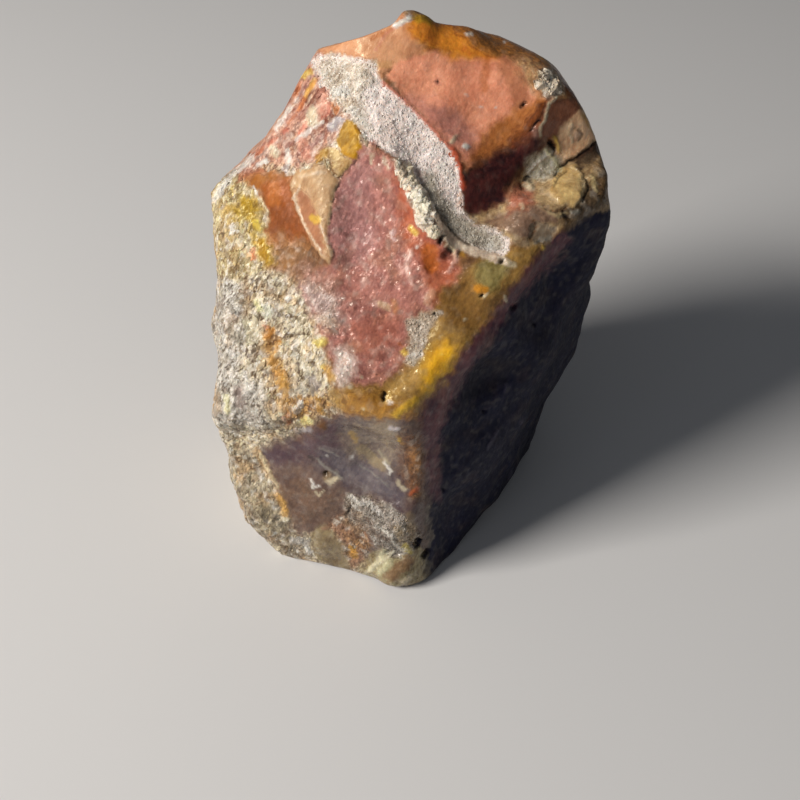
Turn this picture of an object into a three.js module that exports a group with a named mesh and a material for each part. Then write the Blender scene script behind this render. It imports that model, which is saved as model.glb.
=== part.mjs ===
// Rough jasper: one broken lump of red jasper and grey chalcedony that stands on its own broken foot.
//
// Millimetres, +Z up. -Y is the show side, and +X is to its right.
// The stone is one solid. Flat fracture faces bound it, and notches and chips are taken out of them.
// Then small lumps are raised and pits sunk. Every place below is measured in the frame that the
// faces are laid out in, and the finished stone is moved so that its box stands over the origin.

import * as THREE from 'three';
import { ImprovedNoise } from 'three/addons/math/ImprovedNoise.js';
import { SimplifyModifier } from 'three/addons/modifiers/SimplifyModifier.js';
import { mergeVertices } from 'three/addons/utils/BufferGeometryUtils.js';

// ---------------------------------------------------------------- driving dimensions

// The core is a line up the stone. The surface is found along rays that leave it all round.
const CORE_FOOT = [1, -3, 18];
const CORE_TOP = [4, 9, 46];
const REACH = 50; // no point of the stone is further than this from the core
const STEP = 0.5; // how far apart the tries along a ray are
const HALVINGS = 14; // how often the step that crosses the surface is halved to find it
const RAY_DETAIL = 100; // 10 * (RAY_DETAIL + 1)^2 rays catch every edge
const VERTICES = 4900; // how many points are kept of them, densest along the edges
const EDGE_ROUND = 1.6; // how widely two fracture faces round into each other
const FOOT_HEIGHT = 0; // the stone is broken off flat here, and stands on it
const FOOT_ROUND = 0.8; // how widely that break rounds up into the sides

// Fracture faces: the way each looks, and a point that it passes through.
const FACES = [
  { name: 'front foot', looks: [-0.28, -0.95, -0.04], through: [3, -19.5, 15] },
  { name: 'left front foot', looks: [-0.72, -0.66, -0.14], through: [-16.3, -14.2, 6] },
  { name: 'shadow front', looks: [0.6, -0.8, 0], through: [3, -19, 15] },
  { name: 'shadow back', looks: [0.844, -0.503, -0.186], through: [12.5, -7, 0] },
  { name: 'front slope', looks: [0.1, -0.81, 0.58], through: [3, -19.5, 30] },
  { name: 'left slope', looks: [-0.5, -0.68, 0.54], through: [-8, -15, 33] },
  { name: 'left', looks: [-0.98, -0.12, 0.05], through: [-20.2, -2, 28] },
  { name: 'left foot', looks: [-0.88, -0.2, -0.43], through: [-21.5, -4, 11] },
  { name: 'upper left', looks: [-0.75, -0.25, 0.6], through: [-13.5, -2, 54.5] },
  { name: 'top left', looks: [-0.36, 0.35, 0.86], through: [-6, 2, 62.7] },
  { name: 'top front', looks: [0.3, -0.55, 0.78], through: [10, 2.6, 59.8] },
  { name: 'top', looks: [0.3, 0.35, 0.85], through: [12, 5, 61] },
  { name: 'top right', looks: [0.53, 0.2, 0.83], through: [19.5, 6, 56] },
  { name: 'right top', looks: [0.85, 0.15, 0.5], through: [22, 3, 53] },
  { name: 'right', looks: [0.99, 0.1, 0.05], through: [24.8, 0, 45] },
  { name: 'back top', looks: [0, 0.72, 0.69], through: [0, 12, 58] },
  { name: 'back', looks: [0.05, 1, 0.08], through: [0, 20, 30] },
  { name: 'back left', looks: [-0.78, 0.62, -0.05], through: [-18.4, 10.5, 30] },
  { name: 'back right', looks: [0.75, 0.66, 0.05], through: [20, 12, 30] },
  { name: 'back foot', looks: [0.1, 0.8, -0.55], through: [0, 18, 6] },
];

// Notches: the part of the stone that is outside every wall of a notch is broken away.
const NOTCHES = [
  [
    { name: 'tower left', looks: [-0.86, 0.34, 0.37], through: [-13.5, -2, 54.5] },
    { name: 'shoulder top', looks: [-0.64, 0.3, 0.71], through: [-17.2, 1, 47.3] },
  ],
  [
    { name: 'pocket back', looks: [0.46, -0.86, 0.2], through: [9.5, -5.4, 46] },
    { name: 'pocket ledge', looks: [-0.04, -0.31, 0.95], through: [9.5, -5.4, 46] },
    { name: 'pocket end', looks: [0.93, -0.2, 0.25], through: [8.1, -6.5, 47.3] },
  ],
];
// Chips and pits are hollow, and each is the cap of a ball. It gives the middle of the cap on the face,
// the way the cap looks, how wide it is and how deep. One with a second middle, `to`, is a long cap
// that runs from the first to the second.
const CHIPS = [
  {
    name: 'tower face',
    at: [9.4, 1.2, 59.6], to: [12.4, -1.9, 53.2],
    looks: [0.15, -0.8, 0.58], width: 12, depth: 1.7,
  },
  { name: 'right chip', at: [20, -0.6, 53.2], looks: [0.5, -0.68, 0.52], width: 7, depth: 1.2 },
  {
    name: 'band',
    at: [3, -3.4, 52.4], to: [6.9, -7, 47.2],
    looks: [0.1, -0.81, 0.58], width: 4.4, depth: 0.5,
  },
  {
    name: 'band hook',
    at: [7.2, -7.2, 46.6], to: [11.3, -8.5, 44.2],
    looks: [0.1, -0.81, 0.58], width: 3.6, depth: 0.8,
  },
  { name: 'orange basin', at: [5.6, -10, 42.8], looks: [0.1, -0.81, 0.58], width: 5.5, depth: 0.8 },
  {
    name: 'red face',
    at: [-0.6, -8.2, 44.8], to: [2, -14, 37],
    looks: [-0.15, -0.78, 0.6], width: 13, depth: 0.9,
  },
  {
    name: 'left glow',
    at: [-12.5, -4.7, 43.2], to: [-9.5, -9, 39.3],
    looks: [-0.5, -0.68, 0.54], width: 7, depth: 0.6,
  },
  { name: 'upper left', at: [-10.5, -2, 51.5], looks: [-0.65, -0.45, 0.6], width: 9, depth: 0.9 },
  { name: 'lower front', at: [-3.2, -17.9, 21.6], looks: [-0.2, -0.96, -0.15], width: 15, depth: 1.9 },
  { name: 'brow', at: [-10.5, -15.6, 21], looks: [-0.35, -0.92, -0.15], width: 9, depth: 1 },
  { name: 'lower left', at: [-14.5, -14.2, 17], looks: [-0.5, -0.86, 0], width: 10, depth: 0.9 },
  { name: 'shadow hollow', at: [11, -13.2, 28.5], looks: [0.6, -0.8, 0], width: 9, depth: 1.1 },
  { name: 'shadow dish', at: [17.5, -7.6, 36], looks: [0.66, -0.75, 0], width: 13, depth: 0.7 },
  { name: 'shadow foot', at: [8, -14.6, 8], looks: [0.66, -0.75, -0.1], width: 11, depth: 0.8 },
  { name: 'right side', at: [25, 4.5, 36], looks: [0.98, 0.15, 0.05], width: 16, depth: 1.6 },
  { name: 'right foot', at: [21, 8, 10], looks: [0.85, 0.3, -0.3], width: 13, depth: 1.4 },
  { name: 'back', at: [3, 19.8, 41], looks: [0.05, 0.98, 0.15], width: 24, depth: 2.4 },
  { name: 'back foot', at: [-5, 18.5, 13], looks: [-0.1, 0.95, -0.25], width: 16, depth: 1.8 },
  { name: 'back left', at: [-18, 9.5, 33], looks: [-0.78, 0.62, 0], width: 18, depth: 1.8 },
  { name: 'left foot', at: [-21, 1, 12], looks: [-0.9, 0.1, -0.4], width: 12, depth: 1.2 },
];
const PITS = [
  { name: 'main pit', at: [-0.3, -18.2, 31.6], looks: [0, -0.92, 0.38], width: 1.8, depth: 0.8 },
  {
    name: 'band end',
    at: [9, -9, 43.6], to: [7, -8.2, 45.4],
    looks: [0.2, -0.81, 0.5], width: 1.5, depth: 0.7,
  },
  {
    name: 'lower front pit',
    at: [-7.4, -15.8, 19.6],
    looks: [-0.28, -0.96, 0], width: 1.6, depth: 0.6,
  },
];

// Lumps swell out of the faces under them, most in the middle and not at all at the rim.
const LUMPS = [
  { name: 'shoulder foot', at: [-17.6, -8, 35], width: 11, height: 0.6 },
  { name: 'left crust', at: [-19.4, -10.5, 23], width: 9, height: 0.6 },
  { name: 'top nub', at: [3, 4.6, 62.4], width: 6, height: 1.2 },
  { name: 'right bump', at: [15.4, -5.6, 46.4], to: [19.6, -3.6, 47.4], width: 8, height: 1.3 },
  { name: 'band crust', at: [1, -4.3, 51], to: [6.2, -8.8, 44.4], width: 3.6, height: 0.9 },
  { name: 'flake', at: [-7.5, -2.9, 50], to: [-6.2, -8.2, 43.5], width: 6, height: 0.9 },
  { name: 'foot nub', at: [0.4, -18.7, 2.6], width: 7, height: 1 },
  { name: 'foot crust', at: [-7, -16.5, 5], to: [-2, -18, 8], width: 7, height: 0.9 },
  { name: 'foot patch', at: [-3.5, -17.9, 12.6], to: [0.5, -18.7, 10.4], width: 5.5, height: 0.8 },
  { name: 'back brow', at: [-6, 19, 50], to: [8, 19, 52], width: 12, height: 1.2 },
  { name: 'back hip', at: [10, 19, 22], width: 16, height: 1.6 },
  { name: 'left hip', at: [-20, 4, 24], width: 14, height: 1.2 },
];

const NOTCH_ROUND = 1.6; // how widely the walls of a notch run into each other at the bottom
const CHIP_EDGE = 0.7; // how widely the rim of a notch or a chip rounds over
const PIT_EDGE = 0.2; // how widely the rim of a pit rounds over

// The unevenness that every face has, from broad to fine.
const GRAIN = [
  { spacing: 9, height: 0.8 },
  { spacing: 4, height: 0.45 },
];

// ---------------------------------------------------------------- the stone as a distance

function smoothMax(a, b, width) {
  const overlap = Math.max(width - Math.abs(a - b), 0) / width;
  return Math.max(a, b) + (overlap * overlap * width) / 4;
}

function plane({ looks, through }) {
  const normal = new THREE.Vector3(...looks).normalize();
  return new THREE.Plane().setFromNormalAndCoplanarPoint(normal, new THREE.Vector3(...through));
}

// The ball that hollows a chip or a pit out. Its middle runs along a line that is outside the face.
function ball({ at, to = at, looks, width, depth }) {
  const radius = (width * width / 4 + depth * depth) / (2 * depth);
  const shift = new THREE.Vector3(...looks).setLength(radius - depth);
  const line = new THREE.Line3(
    new THREE.Vector3(...at).add(shift),
    new THREE.Vector3(...to).add(shift),
  );
  return { radius, line };
}

function swelling({ at, to = at, width, height }) {
  const line = new THREE.Line3(new THREE.Vector3(...at), new THREE.Vector3(...to));
  return { line, reach: width / 2, height };
}

const faces = FACES.map(plane);
const notches = NOTCHES.map((walls) => walls.map(plane));
const chips = CHIPS.map(ball);
const pits = PITS.map(ball);
const lumps = LUMPS.map(swelling);
const noise = new ImprovedNoise();
const nearest = new THREE.Vector3();

function fromLine(line, point) {
  return line.closestPointToPoint(point, true, nearest).distanceTo(point);
}

// How far a point is outside the stone: negative inside it.
function distance(point) {
  let d = -REACH;
  for (const face of faces) d = smoothMax(d, face.distanceToPoint(point), EDGE_ROUND);
  for (const walls of notches) {
    let inNotch = REACH;
    for (const wall of walls) inNotch = -smoothMax(-inNotch, -wall.distanceToPoint(point), NOTCH_ROUND);
    d = smoothMax(d, inNotch, CHIP_EDGE);
  }
  for (const chip of chips) d = smoothMax(d, chip.radius - fromLine(chip.line, point), CHIP_EDGE);
  for (const { line, reach, height } of lumps) {
    const away = fromLine(line, point) / reach;
    if (away < 1) d -= height * (1 - away * away) ** 2;
  }
  for (const pit of pits) d = smoothMax(d, pit.radius - fromLine(pit.line, point), PIT_EDGE);
  for (const { spacing, height } of GRAIN) {
    d -= height * noise.noise(point.x / spacing, point.y / spacing, point.z / spacing);
  }
  return smoothMax(d, FOOT_HEIGHT - point.z, FOOT_ROUND);
}

// ---------------------------------------------------------------- its surface as triangles

const core = new THREE.Line3(new THREE.Vector3(...CORE_FOOT), new THREE.Vector3(...CORE_TOP));
const start = new THREE.Vector3();

// Where a ray from the core leaves the stone, found from outside inwards.
function surfacePoint(direction) {
  const point = new THREE.Vector3();
  core.at((direction.z + 1) / 2, start);
  const along = (length) => point.copy(start).addScaledVector(direction, length);
  let outside = REACH;
  while (distance(along(outside - STEP)) > 0) outside -= STEP;
  let inside = outside - STEP;
  for (let halving = 0; halving < HALVINGS; halving++) {
    const middle = (outside + inside) / 2;
    if (distance(along(middle)) > 0) outside = middle;
    else inside = middle;
  }
  return point;
}

async function stoneGeometry() {
  const sphere = new THREE.IcosahedronGeometry(1, RAY_DETAIL);
  sphere.deleteAttribute('normal');
  sphere.deleteAttribute('uv');
  const geometry = mergeVertices(sphere, 1e-4);
  const position = geometry.attributes.position;
  const direction = new THREE.Vector3();
  for (let i = 0; i < position.count; i++) {
    direction.fromBufferAttribute(position, i).normalize();
    position.setXYZ(i, ...surfacePoint(direction));
  }
  const kept = await new SimplifyModifier().modify(geometry, position.count - VERTICES);
  kept.computeBoundingBox();
  const middle = kept.boundingBox.getCenter(new THREE.Vector3());
  return kept.translate(-middle.x, -middle.y, -kept.boundingBox.min.z);
}

const jasper = new THREE.MeshStandardMaterial({ color: 0x9a6a58, roughness: 0.55, metalness: 0 });
const stone = new THREE.Mesh(await stoneGeometry(), jasper);
stone.name = 'stone';

const part = new THREE.Group();
part.add(stone);

export default part;
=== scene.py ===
# Rough jasper: a broken stone of red jasper and grey chalcedony with a white granular band.
#
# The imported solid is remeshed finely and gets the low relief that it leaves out. Its colours are laid
# in regions and marks, which are written as x,y pairs in pixels of the 800 x 800 view from the show side
# and cast onto the stone. The sides that this view doesn't see take their colours from noise in the
# stone itself.

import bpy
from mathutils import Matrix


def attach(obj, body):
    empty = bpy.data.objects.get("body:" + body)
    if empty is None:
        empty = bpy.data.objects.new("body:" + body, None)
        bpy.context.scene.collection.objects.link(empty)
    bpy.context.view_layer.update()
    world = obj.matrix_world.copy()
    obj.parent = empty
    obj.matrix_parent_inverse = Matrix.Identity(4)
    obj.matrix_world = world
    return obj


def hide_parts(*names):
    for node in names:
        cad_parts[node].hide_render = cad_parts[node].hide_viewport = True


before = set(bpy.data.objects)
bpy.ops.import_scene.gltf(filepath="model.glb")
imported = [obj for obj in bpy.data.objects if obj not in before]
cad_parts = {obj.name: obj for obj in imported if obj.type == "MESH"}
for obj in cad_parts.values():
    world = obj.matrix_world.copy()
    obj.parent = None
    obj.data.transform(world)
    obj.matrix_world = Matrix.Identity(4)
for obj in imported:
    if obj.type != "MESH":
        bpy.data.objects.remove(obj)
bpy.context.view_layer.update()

import itertools
import math

import bmesh
import bpy
import numpy as np
from mathutils import Vector

MM = 0.001

# ---------------------------------------------------------------- the show view

IMAGE = 800  # pixels along each side of the view
FOCAL = 1200  # the lens, in the same pixels
ELEVATION = math.radians(42)
EYE = np.array((-0.05, -115.85, 117.7))  # mm
AHEAD = np.array((0, math.cos(ELEVATION), -math.sin(ELEVATION)))
ACROSS = np.array((1.0, 0, 0))
UPWARD = np.array((0, math.sin(ELEVATION), math.cos(ELEVATION)))


def to_pixels(points):
    """The view's pixel that each point (in mm) is seen at."""
    away = points - EYE
    depth = away @ AHEAD
    return np.stack(
        (IMAGE / 2 + FOCAL * (away @ ACROSS) / depth, IMAGE / 2 - FOCAL * (away @ UPWARD) / depth), axis=1
    )


# ---------------------------------------------------------------- noise


def lattice(cells, seed):
    """Three numbers from -1 to 1 for each whole-number cell, always the same ones."""
    c = cells.astype(np.int64).astype(np.uint32)
    h = c[..., 0] * np.uint32(374761393) + c[..., 1] * np.uint32(668265263)
    h = h + c[..., 2] * np.uint32(2246822519) + np.uint32((seed * 3266489917) % 2**32)
    for _ in range(2):
        h = (h ^ (h >> np.uint32(15))) * np.uint32(2654435761)
        h = (h ^ (h >> np.uint32(13))) * np.uint32(1274126177)
    h = h ^ (h >> np.uint32(16))
    parts = [(h >> np.uint32(shift)) & np.uint32(1023) for shift in (0, 10, 20)]
    return np.stack(parts, axis=-1) / 511.5 - 1


def noise(points, size, seed=0):
    """Smooth noise from about -1 to 1. size is the width of its features, one number or three."""
    p = points / size
    cell = np.floor(p)
    f = p - cell
    fade = f * f * f * (f * (f * 6 - 15) + 10)
    total = np.zeros(len(p))
    for corner in itertools.product((0, 1), repeat=3):
        corner = np.array(corner)
        weight = np.where(corner, fade, 1 - fade).prod(axis=1)
        total += weight * (lattice(cell + corner, seed) * (f - corner)).sum(axis=1)
    return total * 1.7


def layered(points, size, seed=0, octaves=3):
    """Noise with finer noise on it, each octave half as wide as the last."""
    size = np.array(size, float)
    return sum(noise(points, size / 2**i, seed + i) / 1.8**i for i in range(octaves))


def pebbles(points, size, seed=0):
    """Rounded grains packed side by side: 1 at a grain's middle, 0 where it meets the next."""
    p = points / size
    cell = np.floor(p)
    first = np.full(len(p), 9.0)
    second = np.full(len(p), 9.0)
    for corner in itertools.product((-1, 0, 1), repeat=3):
        middle = cell + corner + 0.5 + 0.42 * lattice(cell + corner, seed)
        far = ((p - middle) ** 2).sum(axis=1)
        second = np.minimum(second, np.maximum(first, far))
        first = np.minimum(first, far)
    return np.clip((np.sqrt(second) - np.sqrt(first)) / 0.8, 0, 1)


def ease(x, low, high):
    """0 up to low and 1 from high, with a smooth step between them."""
    t = np.clip((x - low) / (high - low), 0, 1)
    return t * t * (3 - 2 * t)


# ---------------------------------------------------------------- the looks of the stone

# Each look: a light and a dark colour (sRGB), how wide the blotches of one in the other are (mm), the
# roughness and how crusty the surface is. Some also say how sugary it is, and how far it stands out (mm).
LOOKS = {
    "crust": ("#e6d6b6", "#5a4832", 1.2, 0.4, 0.8),
    "grey crust": ("#dcd4c8", "#584e42", 1.0, 0.38, 0.65),
    "brown crust": ("#c8985c", "#704c2c", 1.4, 0.4, 0.7),
    "shoulder": ("#d8c698", "#8c7248", 1.4, 0.42, 0.85, 0, 0.1),
    "olive crust": ("#bc9628", "#80621a", 1.6, 0.3, 0.2),
    "rosy crust": ("#ce9882", "#763e34", 2.2, 0.42, 0.35),
    "pale rim": ("#f0ece2", "#c4b4a0", 1.5, 0.4, 0.6),
    "foot": ("#b6a88e", "#645442", 1.4, 0.42, 0.7),
    "crumble": ("#96725a", "#5a4234", 1.0, 0.45, 0.7, 0.2),
    "nub": ("#a09470", "#68563a", 2.4, 0.3, 0.25, 0, 0.1),
    "bottle": ("#968664", "#66543e", 2.5, 0.26, 0.15, 0, 0.05),
    "lower": ("#6a5a54", "#4a3a3e", 4.0, 0.3, 0.1),
    # the stone's mauve, darkened as painted shade below the ridge above it
    "mauve": ("#5c464a", "#40303a", 4.0, 0.3, 0.1),
    "pale grey": ("#9e8e7a", "#70625e", 3.0, 0.3, 0.1),
    "violet grey": ("#766c6e", "#564e56", 3.0, 0.3, 0.1),
    "umber": ("#7e6250", "#584236", 3.0, 0.32, 0.12),
    "rust": ("#764e2e", "#402a20", 1.4, 0.35, 0.3),
    # near-black navy: painted shade for the right side turned from the key light, with its blue a painted
    # reflection
    "shade": ("#111226", "#080917", 5.0, 0.6, 0.05),
    "plum": ("#6c3a40", "#3c2234", 3.0, 0.4, 0.1),
    # near black: painted shade in a hollow on the dark right side
    "shaded hollow": ("#141016", "#0a090e", 3.0, 0.6, 0.03),
    "glow": ("#9c5e20", "#744212", 4.0, 0.5, 0.08),
    "ember": ("#9a5018", "#743a0e", 4.5, 0.5, 0.03),
    "tan": ("#885e3a", "#624228", 2.6, 0.42, 0.2),
    "red": ("#c28275", "#925a52", 2.0, 0.4, 0.25),
    "mauve red": ("#cc908a", "#986864", 2.2, 0.42, 0.25),
    "orange red": ("#c06c4e", "#944a36", 2.2, 0.38, 0.15),
    "deep red": ("#b8705e", "#8c5246", 2.2, 0.42, 0.2),
    "lilac": ("#feece0", "#dcbcac", 1.2, 0.38, 0.4),
    "silver": ("#b69c94", "#866c66", 1.4, 0.36, 0.45),
    "olive": ("#b68e4e", "#7e5e30", 2.6, 0.28, 0.08),
    "dark olive": ("#98703a", "#6c4c26", 2.6, 0.28, 0.08),
    "gold": ("#fec22c", "#dea028", 2.4, 0.24, 0.08),
    "grey olive": ("#9e8e58", "#6e6034", 2.0, 0.3, 0.1),
    "ochre": ("#bc883e", "#8e602c", 1.6, 0.28, 0.15),
    "salmon": ("#fcac88", "#de8a6a", 4.0, 0.28, 0.08),
    "peach": ("#dea278", "#c0805a", 4.0, 0.38, 0.06),
    "mauve salmon": ("#e89e8a", "#c68070", 4.0, 0.32, 0.08),
    "corner": ("#e6b27e", "#ae7a54", 2.2, 0.34, 0.2),
    "amber": ("#f69c36", "#ce742c", 5.0, 0.22, 0.03),
    "dark amber": ("#c47e3a", "#865628", 3.0, 0.28, 0.1),
    "rust rim": ("#884822", "#542c1a", 2.5, 0.3, 0.1),
    "streak": ("#c27a42", "#94542c", 3.5, 0.28, 0.04),
    # the stone's maroon, darkened as painted shade below the band's ridge
    "pocket": ("#5c2c28", "#2c1618", 3.0, 0.36, 0.03),
    "tan chip": ("#ffd8aa", "#dca87e", 1.8, 0.28, 0.15),
    "brown dish": ("#9c664c", "#6e4432", 3.0, 0.3, 0.03, 0, -0.1),
    "grey green": ("#ded8c2", "#948a74", 1.6, 0.34, 0.3),
    "bump": ("#c4a67a", "#806648", 2.2, 0.34, 0.2),
    "lobe": ("#debe80", "#b08e5c", 2.0, 0.28, 0.1, 0, 0.25),
    "pink patch": ("#bc765e", "#965a46", 1.8, 0.35, 0.2, 0, 0.05),
    "beige": ("#927560", "#664e40", 2.2, 0.34, 0.15),
    "facet": ("#a08c74", "#72604e", 2.0, 0.35, 0.1, 0, -0.2),
    # dark brown where the right bump turns towards the dark right side: partly painted shade
    "dark edge": ("#5c4a34", "#2c241e", 1.8, 0.36, 0.25),
    "band": ("#fcf2ec", "#e6cec4", 0.9, 0.42, 0.2, 1.0, -0.2),
    "snow": ("#f0e4d2", "#bca692", 1.2, 0.42, 0.5, 0.8, -0.1),
    # grey sugar, darkened as painted shade beside the bead ridge
    "trough": ("#c4baaa", "#786c5e", 1.0, 0.45, 0.1, 1.0, -0.15),
    "sugar": ("#a49a90", "#4e463e", 0.8, 0.42, 0.5, 1.0),
    "pale sugar": ("#d4c2ae", "#806e60", 0.8, 0.42, 0.3, 1.0),
    "bead": ("#fff6e2", "#f6dabc", 1.2, 0.42, 1.0, 0, 0.2),
    "crumbs": ("#fceed8", "#96785c", 0.9, 0.36, 1.1, 0.3, 0.05),
    "lip": ("#e8d6c0", "#b49c86", 1.2, 0.38, 0.15, 0.1, 0.15),
    "flake": ("#cea87e", "#a07652", 2.2, 0.45, 0.1, 0, 0.15),
    "glassy flake": ("#b27a58", "#925e40", 3.0, 0.4, 0.03, 0, 0.1),
    "chip": ("#c68e16", "#8c5e0e", 2.0, 0.5, 0.05, 0, 0.1),
    "cream chip": ("#d0ae74", "#a07646", 1.4, 0.45, 0.2, 0, 0.1),
    "hidden red": ("#b6705e", "#844c40", 3.0, 0.38, 0.35),
    # a dim grey that leads into the dark right side: partly painted shade
    "dusk": ("#706264", "#403640", 4.0, 0.33, 0.2),
}

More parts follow.
